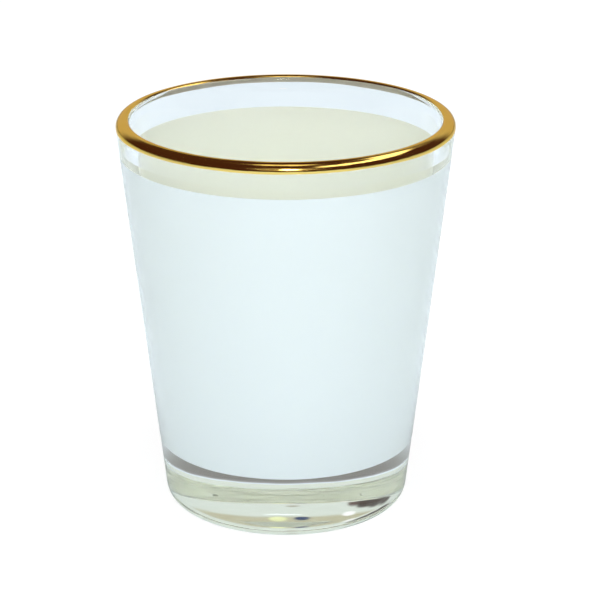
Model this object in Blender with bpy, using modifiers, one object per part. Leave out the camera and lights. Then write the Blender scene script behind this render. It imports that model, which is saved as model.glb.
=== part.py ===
"""A shot glass: clear pressed glass with a heavy base, a gold band on its lip and a white coating round it.

Run with: blender --background --python part.py
Metres, +Z up. The origin is the centre of the foot, on the surface the glass stands on.

Each piece is an outline of (radius, height) points turned round Z. The coating and the gold are
films fused to the glass. Here each is a thin ring of its own, with its outer face at its true size,
and the glass behind it is set back to leave room for the film and a small gap.
"""

import math

import bpy

# The glass outside.
HEIGHT = 0.0600
RIM_RADIUS = 0.0251  # of the side's straight taper, carried up to the full height
FOOT_RADIUS = 0.0180  # of the same taper, carried down to the table
HEEL_RADIUS = 0.0030  # of the round corner between the side and the foot
PUNT_RADIUS = 0.0122  # of the shallow dome under the foot, inside the flat standing ring
PUNT_DEPTH = 0.0008

# The glass inside.
FLOOR_HEIGHT = 0.0110  # of the cavity's floor above the table
FLOOR_CORNER = 0.0045
LIP_WALL = 0.0021
FLOOR_WALL = 0.0034  # the wall's thickness at the floor
LIP_ROUND_OUT = 0.0012
LIP_ROUND_IN = 0.0008

# The films.
GOLD_LOW = 0.0586  # the gold's lower edge on the outside
GOLD_INSIDE_DROP = 0.0002  # from the lip's top to the gold's edge on the inside
COAT_LOW = 0.0103
COAT_HIGH = 0.0548
FILM = 0.0002
GAP = 0.0003

SEGMENTS = 64
ARC_STEP = 22.5  # degrees between the points of an arc
PUNT_RINGS = 3
SHARP_ANGLE = math.radians(35.0)
SCREW_MERGE = 0.00001

SIDE_LEAN = math.atan((RIM_RADIUS - FOOT_RADIUS) / HEIGHT)
FLOOR_RADIUS = FOOT_RADIUS + FLOOR_HEIGHT * math.tan(SIDE_LEAN) - FLOOR_WALL
BORE_LEAN = math.atan((RIM_RADIUS - LIP_WALL - FLOOR_RADIUS) / (HEIGHT - FLOOR_HEIGHT))

# Where the gold ends on the lip's inner round and where the glass below it does, above the level.
GOLD_EDGE_ANGLE = math.degrees(math.asin((LIP_ROUND_IN - GOLD_INSIDE_DROP) / LIP_ROUND_IN))
EDGE_CLEARANCE = math.degrees(2.0 * math.asin(GAP / 2.0 / (LIP_ROUND_IN - FILM)))
LEDGE_ANGLE = GOLD_EDGE_ANGLE - EDGE_CLEARANCE


def side(height, inset=0.0):
    """A point of the outer side, moved into the glass by inset."""
    return (FOOT_RADIUS + height * math.tan(SIDE_LEAN) - inset / math.cos(SIDE_LEAN), height)


def bore(height, inset=0.0):
    """A point of the cavity's side, moved into the glass by inset."""
    rise = (height - FLOOR_HEIGHT) * math.tan(BORE_LEAN)
    return (FLOOR_RADIUS + rise + inset / math.cos(BORE_LEAN), height)


def arc(centre, radius, start, end):
    """Points along an arc from start to end, in degrees from +radius towards +height."""
    steps = max(2, round(abs(end - start) / ARC_STEP))
    angles = [math.radians(start + (end - start) * i / steps) for i in range(steps + 1)]
    return [(centre[0] + radius * math.cos(a), centre[1] + radius * math.sin(a)) for a in angles]


def lip_inside(inset, start, end):
    """Part of the lip's inner round. Its angles rise from level, in the cavity, to 90 at the top."""
    height = HEIGHT - LIP_ROUND_IN
    centre = (bore(height, LIP_ROUND_IN)[0], height)
    return arc(centre, LIP_ROUND_IN - inset, 180.0 - start, 180.0 - end)


def lip_outside(inset):
    """The lip's outer round, from the top down to where the straight side starts."""
    height = HEIGHT - LIP_ROUND_OUT
    centre = (side(height, LIP_ROUND_OUT)[0], height)
    return arc(centre, LIP_ROUND_OUT - inset, 90.0, -math.degrees(SIDE_LEAN))


def foot_ring():
    """The heel's round corner, down to the flat ring that the glass stands on."""
    centre = (side(HEEL_RADIUS, HEEL_RADIUS)[0], HEEL_RADIUS)
    return arc(centre, HEEL_RADIUS, -math.degrees(SIDE_LEAN), -90.0)


def punt():
    """The shallow dome under the foot, from the standing ring in to the axis."""
    radii = [PUNT_RADIUS * (1 - i / PUNT_RINGS) for i in range(PUNT_RINGS + 1)]
    return [(r, PUNT_DEPTH * (1 - (r / PUNT_RADIUS) ** 2)) for r in radii]


def cavity_floor():
    """The cavity's flat floor and round corner, from the axis out to where its side starts."""
    height = FLOOR_HEIGHT + FLOOR_CORNER
    centre = (bore(height)[0] - FLOOR_CORNER / math.cos(BORE_LEAN), height)
    corner = arc(centre, FLOOR_CORNER, -90.0, -math.degrees(BORE_LEAN))
    return [(0.0, FLOOR_HEIGHT)] + corner


def glass_outline():
    """From the middle of the cavity's floor, over the lip and down to the middle of the foot."""
    room = FILM + GAP
    below_ledge = lip_inside(0.0, math.degrees(BORE_LEAN), LEDGE_ANGLE)
    lip = below_ledge + lip_inside(room, LEDGE_ANGLE, 90.0) + lip_outside(room)
    below_gold = GOLD_LOW - GAP
    under_gold = [side(below_gold, room), side(below_gold)]
    above_coat = [side(COAT_HIGH + GAP), side(COAT_HIGH + GAP, room)]
    below_coat = [side(COAT_LOW - GAP, room), side(COAT_LOW - GAP)]
    return cavity_floor() + lip + under_gold + above_coat + below_coat + foot_ring() + punt()


def gold_outline():
    """A closed loop: over the lip and down its outer face, then back up against the glass."""
    outer = lip_inside(0.0, GOLD_EDGE_ANGLE, 90.0) + lip_outside(0.0) + [side(GOLD_LOW)]
    inner = lip_inside(FILM, GOLD_EDGE_ANGLE, 90.0) + lip_outside(FILM) + [side(GOLD_LOW, FILM)]
    return outer + inner[::-1]


def coating_outline():
    """A closed loop: down the coating's outer face and back up against the glass."""
    return [side(COAT_HIGH), side(COAT_LOW), side(COAT_LOW, FILM), side(COAT_HIGH, FILM)]


def new_material(name, colour, roughness, metallic=0.0, transmission=0.0):
    material = bpy.data.materials.new(name)
    material.use_nodes = True
    shader = material.node_tree.nodes["Principled BSDF"]
    shader.inputs["Base Color"].default_value = (*colour, 1.0)
    shader.inputs["Roughness"].default_value = roughness
    shader.inputs["Metallic"].default_value = metallic
    shader.inputs["Transmission Weight"].default_value = transmission
    return material


def turned(name, outline, is_loop, material, collection):
    """One solid: the outline turned round Z by a Screw modifier, then shaded smooth."""
    count = len(outline)
    edges = [(i, i + 1) for i in range(count - 1)]
    if is_loop:
        edges.append((count - 1, 0))
    profile = bpy.data.meshes.new(name + "_outline")
    profile.from_pydata([(r, 0.0, z) for r, z in outline], edges, [])
    piece = bpy.data.objects.new(name, profile)
    collection.objects.link(piece)

    screw = piece.modifiers.new("turn", "SCREW")
    screw.axis = "Z"
    screw.steps = SEGMENTS
    screw.render_steps = SEGMENTS
    screw.use_merge_vertices = True
    screw.merge_threshold = SCREW_MERGE

    graph = bpy.context.evaluated_depsgraph_get()
    solid = bpy.data.meshes.new_from_object(piece.evaluated_get(graph))
    solid.name = name
    solid.shade_smooth()
    solid.set_sharp_from_angle(angle=SHARP_ANGLE)
    solid.materials.append(material)
    piece.modifiers.clear()
    piece.data = solid
    bpy.data.meshes.remove(profile)
    return piece


def clear_scene():
    for obj in list(bpy.data.objects):
        bpy.data.objects.remove(obj)


def build():
    clear_scene()
    collection = bpy.data.collections.new("shot_glass")
    bpy.context.scene.collection.children.link(collection)

    clear_glass = new_material("clear_glass", (0.93, 0.96, 0.93), 0.02, transmission=1.0)
    gold_lustre = new_material("gold_lustre", (0.83, 0.62, 0.24), 0.15, metallic=1.0)
    white_gloss = new_material("white_gloss", (0.90, 0.92, 0.91), 0.12)

    turned("glass_body", glass_outline(), False, clear_glass, collection)
    turned("gold_rim", gold_outline(), True, gold_lustre, collection)
    turned("white_coating", coating_outline(), True, white_gloss, collection)


build()
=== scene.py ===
"""The looks of a shot glass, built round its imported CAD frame, in metres, +Z up.

The CAD model holds the glass's two films, the gold on its lip and the white coating round it, as
rings that stand clear of a set-back glass. Here the glass has its full outside, and each film is a
quarter as thick and sunk into the glass's skin, so light inside the glass meets it with no gap.
"""

import math

import bmesh
import bpy
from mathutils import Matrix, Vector, noise


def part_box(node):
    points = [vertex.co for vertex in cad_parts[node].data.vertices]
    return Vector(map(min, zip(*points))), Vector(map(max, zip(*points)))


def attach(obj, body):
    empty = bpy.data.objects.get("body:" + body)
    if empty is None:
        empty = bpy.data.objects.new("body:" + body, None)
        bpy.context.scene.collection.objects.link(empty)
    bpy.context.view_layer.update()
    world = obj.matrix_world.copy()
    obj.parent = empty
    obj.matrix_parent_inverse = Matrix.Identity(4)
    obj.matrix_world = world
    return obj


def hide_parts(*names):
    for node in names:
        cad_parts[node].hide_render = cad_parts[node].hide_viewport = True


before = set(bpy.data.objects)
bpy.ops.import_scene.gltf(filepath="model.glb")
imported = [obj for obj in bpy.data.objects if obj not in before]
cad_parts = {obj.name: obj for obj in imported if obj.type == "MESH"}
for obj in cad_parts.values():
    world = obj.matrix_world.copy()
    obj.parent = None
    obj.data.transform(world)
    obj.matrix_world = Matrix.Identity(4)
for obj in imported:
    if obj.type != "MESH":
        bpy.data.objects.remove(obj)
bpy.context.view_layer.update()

# The heights and the radius that the CAD solids give.
coat_low_corner, coat_high_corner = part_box("white_coating")
gold_low_corner, gold_high_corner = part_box("gold_rim")
HEIGHT = gold_high_corner.z
COAT_LOW = coat_low_corner.z
COAT_HIGH = coat_high_corner.z
COAT_TOP_RADIUS = coat_high_corner.x
GOLD_LOW = gold_low_corner.z

# The glass, as the CAD model has it.
FOOT_RADIUS = 0.0180
HEEL_RADIUS = 0.0030
PUNT_RADIUS = 0.0122
PUNT_DEPTH = 0.0008
FLOOR_HEIGHT = 0.0110
FLOOR_CORNER = 0.0045
LIP_WALL = 0.0021
FLOOR_WALL = 0.0034  # the wall's thickness at the cavity's floor
LIP_ROUND_OUT = 0.0012
LIP_ROUND_IN = 0.0008
GOLD_INSIDE_DROP = 0.0002  # from the lip's top to the gold's edge on the inside

SIDE_LEAN = math.atan((COAT_TOP_RADIUS - FOOT_RADIUS) / COAT_HIGH)
FLOOR_RADIUS = FOOT_RADIUS + FLOOR_HEIGHT * math.tan(SIDE_LEAN) - FLOOR_WALL
MOUTH_RADIUS = FOOT_RADIUS + HEIGHT * math.tan(SIDE_LEAN) - LIP_WALL
BORE_LEAN = math.atan((MOUTH_RADIUS - FLOOR_RADIUS) / (HEIGHT - FLOOR_HEIGHT))

# The films.
FILM_SUNK = 0.00002  # how far a film's inner face lies inside the glass's skin
FILM_PROUD = 0.00003  # how far its outer face stands out of the skin
GOLD_EDGE_WANDER = 0.00012  # of a band painted by hand on a turntable
COAT_EDGE_WANDER = 0.00004
SLOW_CIRCLE = 2.0  # radii of the circles that an edge's wander is read along, in a space of noise
QUICK_CIRCLE = 9.0
QUICK_SHARE = 0.35  # how strong the quick wander is beside the slow one

TURN_STEPS = 288
ARC_STEPS = 14
WALL_STEPS = 24
BASE_RINGS = 12  # across the cavity's floor, and across the dome under the foot
SHARP_ANGLE = math.radians(40.0)
MERGE_DISTANCE = 1e-8


# ---------------------------------------------------------------- outlines, as (radius, height) points


def side(height, inset=0.0):
    """A point of the outer side, moved into the glass by inset."""
    return (FOOT_RADIUS + height * math.tan(SIDE_LEAN) - inset / math.cos(SIDE_LEAN), height)


def bore(height, inset=0.0):
    """A point of the cavity's side, moved into the glass by inset."""
    outward = (height - FLOOR_HEIGHT) * math.tan(BORE_LEAN)
    return (FLOOR_RADIUS + outward + inset / math.cos(BORE_LEAN), height)


def arc(centre, radius, start, end):
    """Points along an arc from start to end, in degrees from +radius towards +height."""
    angles = [math.radians(start + (end - start) * i / ARC_STEPS) for i in range(ARC_STEPS + 1)]
    return [(centre[0] + radius * math.cos(a), centre[1] + radius * math.sin(a)) for a in angles]


def straight(start, end, steps):
    """The points between two others, without the two themselves."""
    shares = [i / steps for i in range(1, steps)]
    return [(start[0] + (end[0] - start[0]) * t, start[1] + (end[1] - start[1]) * t) for t in shares]


def lip_inside(inset, lowest):
    """The lip's inner round, from its point at the height lowest up to the top."""
    height = HEIGHT - LIP_ROUND_IN
    centre = (bore(height, LIP_ROUND_IN)[0], height)
    edge = math.degrees(math.asin((lowest - height) / LIP_ROUND_IN))
    return arc(centre, LIP_ROUND_IN - inset, 180.0 - edge, 90.0)


def lip_outside(inset):
    """The lip's outer round, from the top down to where the straight side starts."""
    height = HEIGHT - LIP_ROUND_OUT
    centre = (side(height, LIP_ROUND_OUT)[0], height)
    return arc(centre, LIP_ROUND_OUT - inset, 90.0, -math.degrees(SIDE_LEAN))


def cavity_floor():
    """The cavity's flat floor and round corner, from the axis out to where its side starts."""
    height = FLOOR_HEIGHT + FLOOR_CORNER
    centre = (bore(height)[0] - FLOOR_CORNER / math.cos(BORE_LEAN), height)
    corner = arc(centre, FLOOR_CORNER, -90.0, -math.degrees(BORE_LEAN))
    return [(0.0, FLOOR_HEIGHT)] + straight((0.0, FLOOR_HEIGHT), corner[0], BASE_RINGS) + corner


def foot():
    """The heel's round corner, the standing ring and the dome inside it, in to the axis."""
    centre = (side(HEEL_RADIUS, HEEL_RADIUS)[0], HEEL_RADIUS)
    heel = arc(centre, HEEL_RADIUS, -math.degrees(SIDE_LEAN), -90.0)
    radii = [PUNT_RADIUS * (1 - i / BASE_RINGS) for i in range(BASE_RINGS + 1)]
    dome = [(r, PUNT_DEPTH * (1 - (r / PUNT_RADIUS) ** 2)) for r in radii]
    return heel + dome


def glass_outlines(angle):
    """From the middle of the cavity's floor to the middle of the foot, the same at every angle.

    It has one material all over, so its second outline is empty.
    """
    floor = cavity_floor()
    bore_top = HEIGHT - LIP_ROUND_IN + LIP_ROUND_IN * math.sin(BORE_LEAN)
    lip = lip_inside(0.0, bore_top) + lip_outside(0.0)
    base = foot()
    wall_inside = straight(floor[-1], lip[0], WALL_STEPS)
    wall_outside = straight(lip[-1], base[0], WALL_STEPS)
    return floor + wall_inside + lip + wall_outside + base, []


def wander(angle, amount, seed):
    """A small smooth offset that closes on itself round the glass. Each edge has its own seed."""
    across = math.cos(angle)
    along = math.sin(angle)
    slow = noise.noise(Vector((SLOW_CIRCLE * across, SLOW_CIRCLE * along, seed)))
    quick = noise.noise(Vector((QUICK_CIRCLE * across, QUICK_CIRCLE * along, seed)))
    return amount * (slow + QUICK_SHARE * quick)


def gold_outlines(angle):
    """The gold's open face, over the lip and down its outside, then its hidden face, back up."""
    low = GOLD_LOW + wander(angle, GOLD_EDGE_WANDER, seed=3.0)
    inside = HEIGHT - GOLD_INSIDE_DROP + wander(angle, GOLD_EDGE_WANDER, seed=7.0)
    outer = lip_inside(-FILM_PROUD, inside) + lip_outside(-FILM_PROUD) + [side(low, -FILM_PROUD)]
    inner = lip_inside(FILM_SUNK, inside) + lip_outside(FILM_SUNK) + [side(low, FILM_SUNK)]
    return outer, inner[::-1]


def coating_outlines(angle):
    """The coating's open face, downwards, then its hidden face, back up."""
    high = COAT_HIGH + wander(angle, COAT_EDGE_WANDER, seed=11.0)
    low = COAT_LOW + wander(angle, COAT_EDGE_WANDER, seed=13.0)
    top = side(high, -FILM_PROUD)
    bottom = side(low, -FILM_PROUD)
    top_in = side(high, FILM_SUNK)
    bottom_in = side(low, FILM_SUNK)
    outer = [top] + straight(top, bottom, WALL_STEPS) + [bottom]
    inner = [bottom_in] + straight(bottom_in, top_in, WALL_STEPS) + [top_in]
    return outer, inner


# ---------------------------------------------------------------- meshes


def turned(name, outlines_at):
    """A solid turned round Z from the outlines of its open face and of its face against the glass.

    The two close a loop, and the hidden one's quads take the second material. A piece with no hidden
    face starts and ends on the axis. The point attribute "across" is the distance along the outline.
    """
    bm = bmesh.new()
    across = bm.verts.layers.float.new("across")
    rings = []
    for step in range(TURN_STEPS):
        angle = 2.0 * math.pi * step / TURN_STEPS
        open_face, hidden_face = outlines_at(angle)
        ring = []
        travelled = 0.0
        last = None
        for radius, height in open_face + hidden_face:
            vertex = bm.verts.new((radius * math.cos(angle), radius * math.sin(angle), height))
            travelled += math.dist(last, (radius, height)) if last else 0.0
            vertex[across] = travelled
            last = (radius, height)
            ring.append(vertex)
        rings.append(ring)
    count = len(rings[0])
    for step, ring in enumerate(rings):
        following = rings[(step + 1) % TURN_STEPS]
        for i in range(count if hidden_face else count - 1):
            j = (i + 1) % count
            quad = bm.faces.new((ring[i], ring[j], following[j], following[i]))
            quad.material_index = 1 if i >= len(open_face) else 0
    bmesh.ops.remove_doubles(bm, verts=bm.verts, dist=MERGE_DISTANCE)
    bmesh.ops.recalc_face_normals(bm, faces=bm.faces)
    mesh = bpy.data.meshes.new(name)
    bm.to_mesh(mesh)
    bm.free()
    mesh.shade_smooth()
    mesh.set_sharp_from_angle(angle=SHARP_ANGLE)
    piece = bpy.data.objects.new(name, mesh)
    bpy.context.scene.collection.objects.link(piece)
    return piece


# ---------------------------------------------------------------- nodes


def feed(tree, value, socket):
    """Gives a socket a fixed value, or links it to another node's output."""
    if isinstance(value, bpy.types.NodeSocket):
        tree.links.new(value, socket)
    elif socket.type == "RGBA":
        socket.default_value = (*value, 1.0)
    else:
        socket.default_value = value


def wire(tree, node, **inputs):
    """Feeds a node's inputs. Underscores in their names stand for spaces."""
    for name, value in inputs.items():
        feed(tree, value, node.inputs[name.replace("_", " ")])
    return node


def add(tree, kind, **inputs):
    return wire(tree, tree.nodes.new(kind), **inputs)


def calculate(tree, kind, operation, first, second):
    """The result of a Math or Vector Math node. Each value is fixed or another node's output."""
    node = tree.nodes.new(kind)
    node.operation = operation
    feed(tree, first, node.inputs[0])
    feed(tree, second, node.inputs[1])
    return node.outputs["Value"]


def multiply(tree, first, second):
    return calculate(tree, "ShaderNodeMath", "MULTIPLY", first, second)


def remap(tree, value, start, end, interpolation="LINEAR"):
    """A value carried from one range to another, each given as (low, high)."""
    node = add(
        tree,
        "ShaderNodeMapRange",
        Value=value,
        From_Min=start[0],
        From_Max=start[1],
        To_Min=end[0],
        To_Max=end[1],
    )
    node.interpolation_type = interpolation
    return node.outputs["Result"]


def rise(tree, value, low, high):
    """0 below low, 1 above high, and smooth between."""
    return remap(tree, value, (low, high), (0.0, 1.0), "SMOOTHSTEP")


def fall(tree, value, low, high):
    """1 below low, 0 above high, and smooth between."""
    return remap(tree, value, (low, high), (1.0, 0.0), "SMOOTHSTEP")


def mix_colours(tree, share, first, second):
    node = tree.nodes.new("ShaderNodeMix")
    node.data_type = "RGBA"
    return wire(tree, node, Factor=share, A=first, B=second).outputs["Result"]


def noise_at(tree, where, scale, detail, roughness=0.5):
    node = add(tree, "ShaderNodeTexNoise", Vector=where, Scale=scale, Detail=detail, Roughness=roughness)
    return node.outputs["Fac"]


def own_place(tree):
    return tree.nodes.new("ShaderNodeTexCoord").outputs["Object"]


def bump(tree, height, depth):
    return add(tree, "ShaderNodeBump", Height=height, Distance=depth).outputs["Normal"]


# ---------------------------------------------------------------- materials

NOISE_MIDDLE = (0.3, 0.7)  # the range that most of a noise's values lie in
COAT_GLOW_DEPTH = 0.0001  # how far light wanders in the coating, about twice its thickness
GLASS_IOR = 1.52
GLASS_TINT = (0.87, 0.94, 0.88)
GLASS_TINT_DENSITY = 9.0
GOLD_STREAK_STRETCH = 14.0  # how much faster the brush streaks change across the band than along it


def new_material(name):
    material = bpy.data.materials.new(name)
    material.use_nodes = True
    return material, material.node_tree, material.node_tree.nodes["Principled BSDF"]


def clear_glass():
    """Soda-lime glass, a little green through its thickness, with the soft waves of pressing."""
    material, tree, shader = new_material("clear_glass")
    wire(tree, shader, Base_Color=(1.0, 1.0, 1.0), Transmission_Weight=1.0, IOR=GLASS_IOR, Roughness=0.0)
    waves = noise_at(tree, own_place(tree), scale=140.0, detail=1.0)
    wire(tree, shader, Normal=bump(tree, waves, depth=0.00004))
    body = add(tree, "ShaderNodeVolumeAbsorption", Color=GLASS_TINT, Density=GLASS_TINT_DENSITY)
    wire(tree, tree.nodes["Material Output"], Volume=body.outputs["Volume"])
    return material


def let_light_through(tree, shader):
    """The coating is thin enough to glow with the light that falls on its other face."""
    wire(tree, shader, Subsurface_Weight=1.0, Subsurface_Scale=COAT_GLOW_DEPTH)
    wire(tree, shader, Subsurface_Radius=(1.0, 1.0, 1.0))


def white_gloss():
    """The coating's outer face: cool white, with a fine orange peel and faint handling marks."""
    material, tree, shader = new_material("white_gloss")
    where = own_place(tree)
    clouds = noise_at(tree, where, scale=45.0, detail=2.0)
    marks = noise_at(tree, where, scale=220.0, detail=6.0, roughness=0.65)
    peel = noise_at(tree, where, scale=1800.0, detail=2.0)
    cool_white = (0.855, 0.905, 0.91)
    warm_white = (0.87, 0.915, 0.915)
    wire(tree, shader, Base_Color=mix_colours(tree, clouds, cool_white, warm_white))
    wire(tree, shader, Roughness=remap(tree, marks, NOISE_MIDDLE, (0.20, 0.26)))
    wire(tree, shader, Normal=bump(tree, peel, depth=0.000003))
    wire(tree, shader, IOR=1.5, Coat_Weight=0.25, Coat_Roughness=0.08)
    let_light_through(tree, shader)
    return material


def underside_with_painted_warmth():
    """The coating's face against the glass, seen through it from inside the cavity: matt, and warmer,
    its cream tint painted light for the warm light that comes through the coating.
    """
    material, tree, shader = new_material("white_underside")
    clouds = noise_at(tree, own_place(tree), scale=90.0, detail=4.0)
    # The cream tint is painted warm light on the coating's white, and the two creams differ at random.
    cream = (0.95, 0.95, 0.835)
    pale_cream = (0.97, 0.97, 0.865)
    wire(tree, shader, Base_Color=mix_colours(tree, clouds, cream, pale_cream))
    wire(tree, shader, Roughness=0.6, Specular_IOR_Level=0.0)
    let_light_through(tree, shader)
    return material


def gold_lustre():
    """Bright fired gold: a mirror with brush streaks round the lip and thinner, browner patches."""
    material, tree, shader = new_material("gold_lustre")
    level = add(tree, "ShaderNodeSeparateXYZ", Vector=own_place(tree)).outputs
    across = tree.nodes.new("ShaderNodeAttribute")
    across.attribute_name = "across"
    stretched = multiply(tree, across.outputs["Fac"], GOLD_STREAK_STRETCH)
    brushed = add(tree, "ShaderNodeCombineXYZ", X=level["X"], Y=level["Y"], Z=stretched)
    streaks = noise_at(tree, brushed.outputs["Vector"], scale=160.0, detail=4.0, roughness=0.6)
    patches = noise_at(tree, own_place(tree), scale=130.0, detail=3.0)
    brown_gold = (0.80, 0.53, 0.12)
    yellow_gold = (0.91, 0.67, 0.20)
    wire(tree, shader, Base_Color=mix_colours(tree, patches, brown_gold, yellow_gold))
    wire(tree, shader, Roughness=remap(tree, streaks, NOISE_MIDDLE, (0.05, 0.22)))
    wire(tree, shader, Normal=bump(tree, streaks, depth=0.00002))
    wire(tree, shader, Metallic=1.0, Specular_Tint=(0.94, 0.74, 0.46))
    return material


def gold_underside():
    """The gold's face against the glass, seen through it: duller and greyer."""
    material, tree, shader = new_material("gold_underside")
    patches = noise_at(tree, own_place(tree), scale=200.0, detail=3.0)
    grey_brown = (0.66, 0.59, 0.52)
    pale_grey = (0.78, 0.72, 0.66)
    wire(tree, shader, Base_Color=mix_colours(tree, patches, grey_brown, pale_grey))
    wire(tree, shader, Metallic=0.3, Roughness=0.45)
    return material


# ---------------------------------------------------------------- pieces


def build_pieces():
    glass = turned("glass", glass_outlines)
    glass.data.materials.append(clear_glass())
    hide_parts("glass_body")

    gold = turned("gold_band", gold_outlines)
    gold.data.materials.append(gold_lustre())
    gold.data.materials.append(gold_underside())
    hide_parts("gold_rim")

    coating = turned("coating", coating_outlines)
    coating.data.materials.append(white_gloss())
    coating.data.materials.append(underside_with_painted_warmth())
    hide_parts("white_coating")

    for piece in (glass, gold, coating):
        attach(piece, "root")


# ---------------------------------------------------------------- table

TABLE_SIZE = 6.0
TABLE_GAP = 0.0001  # between the table and the foot, so that no two faces lie at one height
TABLE_COLOUR = (0.84, 0.92, 1.0)
TABLE_GLOW = (1.1, 1.1, 1.1)
TABLE_GLOW_SHARE = 0.85  # how much of what the camera sees of the table directly is its glow
# A shadow painted on the table behind the glass: its colour, its middle, and the distances where it
# starts and ends fading out.
SHADOW_COLOUR = (0.24, 0.22, 0.21)
SHADOW_PLACE = (0.0, 0.024, 0.0)
SHADOW_INNER = 0.008
SHADOW_OUTER = 0.052


def table_material():
    """A matt table with a soft painted shadow behind the glass, added to the shadows the lamps cast. To
    the camera itself it is nearly all white.
    """
    material, tree, shader = new_material("pale_floor")
    place = tree.nodes.new("ShaderNodeNewGeometry").outputs["Position"]
    distance = calculate(tree, "ShaderNodeVectorMath", "DISTANCE", place, SHADOW_PLACE)
    lit = rise(tree, distance, SHADOW_INNER, SHADOW_OUTER)
    wire(tree, shader, Base_Color=mix_colours(tree, lit, SHADOW_COLOUR, TABLE_COLOUR))
    wire(tree, shader, Roughness=0.9, Specular_IOR_Level=0.0)
    glow = add(tree, "ShaderNodeEmission", Color=TABLE_GLOW, Strength=1.0)
    for_camera = tree.nodes.new("ShaderNodeLightPath").outputs["Is Camera Ray"]
    both = add(tree, "ShaderNodeMixShader", Fac=multiply(tree, for_camera, TABLE_GLOW_SHARE))
    feed(tree, shader.outputs["BSDF"], both.inputs[1])
    feed(tree, glow.outputs["Emission"], both.inputs[2])
    wire(tree, tree.nodes["Material Output"], Surface=both.outputs["Shader"])
    return material


def add_floor():
    bpy.ops.mesh.primitive_plane_add(size=TABLE_SIZE, location=(0.0, 0.0, -TABLE_GAP))
    floor = bpy.context.object
    floor.name = "floor"
    floor.data.materials.append(table_material())


# ---------------------------------------------------------------- lamps and rooms

GLASS_MIDDLE = Vector((0.0, 0.0, HEIGHT / 2))
OVERHEAD_PLACE = (0.0, 0.05, 0.9)
OVERHEAD_SIZE = 0.50
OVERHEAD_POWER = 6.3
OVERHEAD_COLOUR = (0.98, 1.0, 1.12)
KEY_PLACE = (0.015, -0.60, 0.34)
KEY_SIZE = 0.14
KEY_POWER = 1.9
KEY_COLOUR = (0.885, 0.97, 1.07)

# The world. Each edge, sill, head and top is where a change of colour starts and where it ends, as
# the X, Y or Z of the direction looked in. First, the light on matt surfaces and the background.
STUDIO_WHITE = (0.12, 0.12, 0.04)
BACK_LIGHT = (0.74, 0.72, 0.52)
BACK_LIGHT_EDGE = (0.3, 0.7)
BACKGROUND_WHITE = (0.94, 0.95, 0.95)

# The room that glossy surfaces mirror.
ROOM_DARK = (0.068, 0.025, 0.020)
ROOM_WHITE = (0.68, 0.65, 0.61)
BACKDROP_EDGE = (0.62, 0.86)
BACKDROP_TOP = (0.42, 0.60)
WINDOW_WHITE = (2.3, 2.2, 2.1)
WINDOW_SILL = (0.67, 0.72)
WINDOW_HEAD = (0.84, 0.89)
WINDOW_EDGE = (0.24, 0.36)

# The room that shows through the glass.
BEHIND_WHITE = (0.74, 0.80, 0.73)
BEHIND_TAN = (0.56, 0.54, 0.38)
TAN_EDGE = (0.49, 0.55)
CEILING_EDGE = (0.64, 0.78)
CEILING_WHITE = (5.4, 5.7, 5.3)  # as it lights the inside of the glass
CEILING_SEEN = (0.74, 0.78, 0.66)  # as the camera sees it
NO_BOUNCE_YET = 0.5  # bounces are counted in whole numbers, so less than this is none

# Round patches in the rooms, in degrees: azimuth (0 is straight behind the glass, plus is to the
# right), elevation, the angle that is all in the patch's colour, the angle where it ends, its colour.
MIRRORED_PATCHES = (
    (180.0, 28.0, 14.0, 24.0, (0.40, 0.34, 0.30)),  # a wall behind the camera
    (0.0, 88.0, 7.0, 12.0, (1.5, 1.4, 1.2)),  # a lamp overhead
    (177.0, 29.0, 4.0, 7.0, (12.0, 12.0, 11.0)),  # a small bright lamp behind the camera
)
STREAK_BROWN = (0.05, 0.022, 0.008)
PATCHES_THROUGH_GLASS = (
    (-24.0, 19.5, 1.0, 3.5, (0.12, 0.06, 0.04)),
    (-30.0, 21.0, 2.5, 5.5, STREAK_BROWN),
    (-37.0, 22.0, 3.0, 6.5, STREAK_BROWN),
    (-45.0, 22.0, 3.0, 7.0, STREAK_BROWN),
    (-2.0, 16.0, 1.0, 3.0, (0.42, 0.38, 0.30)),
    (-24.0, 31.0, 1.5, 3.5, (1.1, 1.1, 1.1)),
    (3.0, 34.0, 1.5, 3.5, (0.95, 1.0, 0.55)),
    (-5.5, 33.5, 1.2, 3.0, (0.03, 0.05, 0.14)),
)


def look_at(obj, target):
    obj.rotation_euler = (target - obj.location).to_track_quat("-Z", "Y").to_euler()


def add_lamp(name, place, size, power, colour, through_glass):
    """A round soft lamp that no surface mirrors. through_glass says if it also shines through glass."""
    light = bpy.data.lights.new(name, "AREA")
    light.shape = "DISK"
    light.size = size
    light.energy = power
    light.color = colour
    lamp = bpy.data.objects.new(name, light)
    lamp.location = place
    lamp.visible_glossy = False
    lamp.visible_transmission = through_glass
    bpy.context.scene.collection.objects.link(lamp)
    look_at(lamp, GLASS_MIDDLE)


def add_lamps():
    """The overhead lamp would leave white streaks in the base, so it doesn't shine through glass."""
    overhead = (OVERHEAD_PLACE, OVERHEAD_SIZE, OVERHEAD_POWER, OVERHEAD_COLOUR)
    key = (KEY_PLACE, KEY_SIZE, KEY_POWER, KEY_COLOUR)
    add_lamp("overhead", *overhead, through_glass=False)
    add_lamp("key", *key, through_glass=True)


def towards(azimuth, elevation):
    """The direction of a place in the room, from its two angles in degrees."""
    level = math.cos(math.radians(elevation))
    turn = math.radians(azimuth)
    return Vector((level * math.sin(turn), level * math.cos(turn), math.sin(math.radians(elevation))))


def lay_patches(tree, direction, colour, patches):
    for azimuth, elevation, full, end, patch_colour in patches:
        middle = towards(azimuth, elevation)
        closeness = calculate(tree, "ShaderNodeVectorMath", "DOT_PRODUCT", direction, middle)
        inside = rise(tree, closeness, math.cos(math.radians(end)), math.cos(math.radians(full)))
        colour = mix_colours(tree, inside, colour, patch_colour)
    return colour


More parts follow.
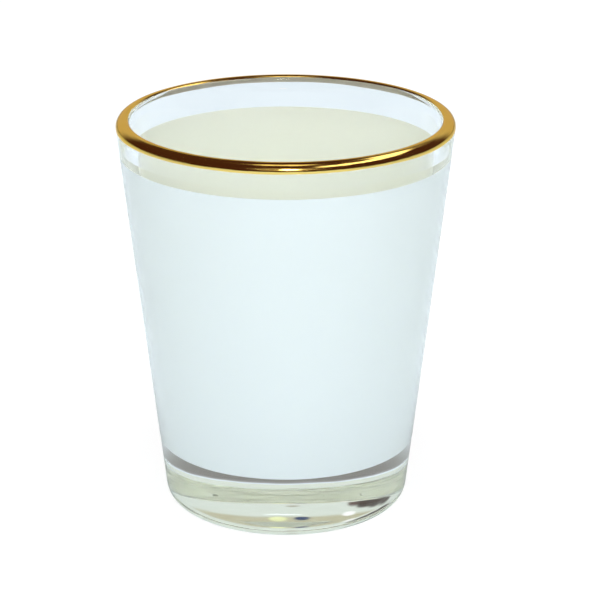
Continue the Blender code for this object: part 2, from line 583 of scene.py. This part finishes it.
def mirrored_room(tree, direction, parts):
    """A dark room with a pale backdrop, a window high on the right and a few lamps."""
    behind = rise(tree, parts["Y"], *BACKDROP_EDGE)
    low_down = fall(tree, parts["Z"], *BACKDROP_TOP)
    room = mix_colours(tree, multiply(tree, behind, low_down), ROOM_DARK, ROOM_WHITE)
    above_sill = rise(tree, parts["Z"], *WINDOW_SILL)
    below_head = fall(tree, parts["Z"], *WINDOW_HEAD)
    on_right = rise(tree, parts["X"], *WINDOW_EDGE)
    window = multiply(tree, multiply(tree, above_sill, below_head), on_right)
    room = mix_colours(tree, window, room, WINDOW_WHITE)
    return lay_patches(tree, direction, room, MIRRORED_PATCHES)


def room_through_glass(tree, direction, parts):
    """A pale backdrop, tan above it, then a ceiling, with a few soft patches.

    The ceiling is brighter, and the patches aren't there, for the light that falls on matt surfaces.
    """
    tan_above = rise(tree, parts["Z"], *TAN_EDGE)
    wall = mix_colours(tree, tan_above, BEHIND_WHITE, BEHIND_TAN)
    ceiling_above = rise(tree, parts["Z"], *CEILING_EDGE)
    lighting = mix_colours(tree, ceiling_above, wall, CEILING_WHITE)
    room = mix_colours(tree, ceiling_above, wall, CEILING_SEEN)
    seen = lay_patches(tree, direction, room, PATCHES_THROUGH_GLASS)
    bounces = tree.nodes.new("ShaderNodeLightPath").outputs["Diffuse Depth"]
    first_look = calculate(tree, "ShaderNodeMath", "LESS_THAN", bounces, NO_BOUNCE_YET)
    return mix_colours(tree, first_look, lighting, seen)


def add_world():
    """Soft light on matt surfaces, a mirrored room, a room through the glass, and a pale background."""
    world = bpy.data.worlds.new("studio")
    world.use_nodes = True
    tree = world.node_tree
    direction = tree.nodes.new("ShaderNodeTexCoord").outputs["Generated"]
    parts = add(tree, "ShaderNodeSeparateXYZ", Vector=direction).outputs
    paths = tree.nodes.new("ShaderNodeLightPath").outputs
    colour = mix_colours(tree, rise(tree, parts["Y"], *BACK_LIGHT_EDGE), STUDIO_WHITE, BACK_LIGHT)
    colour = mix_colours(tree, paths["Is Glossy Ray"], colour, mirrored_room(tree, direction, parts))
    through = room_through_glass(tree, direction, parts)
    colour = mix_colours(tree, paths["Is Transmission Ray"], colour, through)
    colour = mix_colours(tree, paths["Is Camera Ray"], colour, BACKGROUND_WHITE)
    wire(tree, tree.nodes["Background"], Color=colour)
    bpy.context.scene.world = world


# ---------------------------------------------------------------- camera

CAMERA_DISTANCE = 0.4189
CAMERA_ELEVATION = math.radians(19.61)
CAMERA_LENS = 167.1
CAMERA_SENSOR = 36.0
CAMERA_CLIP_START = 0.01
AIM_RIGHT = 0.0021  # the glass stands a little left of the picture's middle, and a little low
AIM_UP = 0.0013


def add_camera():
    back = Vector((0.0, -math.cos(CAMERA_ELEVATION), math.sin(CAMERA_ELEVATION)))
    up = Vector((0.0, math.sin(CAMERA_ELEVATION), math.cos(CAMERA_ELEVATION)))
    data = bpy.data.cameras.new("camera")
    data.lens = CAMERA_LENS
    data.sensor_width = CAMERA_SENSOR
    data.clip_start = CAMERA_CLIP_START
    camera = bpy.data.objects.new("camera", data)
    camera.location = GLASS_MIDDLE + back * CAMERA_DISTANCE
    bpy.context.scene.collection.objects.link(camera)
    look_at(camera, GLASS_MIDDLE + Vector((AIM_RIGHT, 0.0, 0.0)) + up * AIM_UP)
    bpy.context.scene.camera = camera


def set_light_paths():
    """Light has to cross several walls of glass and still bounce about inside the cavity."""
    scene = bpy.context.scene
    scene.view_settings.view_transform = "Standard"
    scene.cycles.max_bounces = 32
    scene.cycles.transmission_bounces = 24
    scene.cycles.diffuse_bounces = 16
    scene.cycles.glossy_bounces = 20


build_pieces()
add_floor()
add_lamps()
add_world()
add_camera()
set_light_paths()
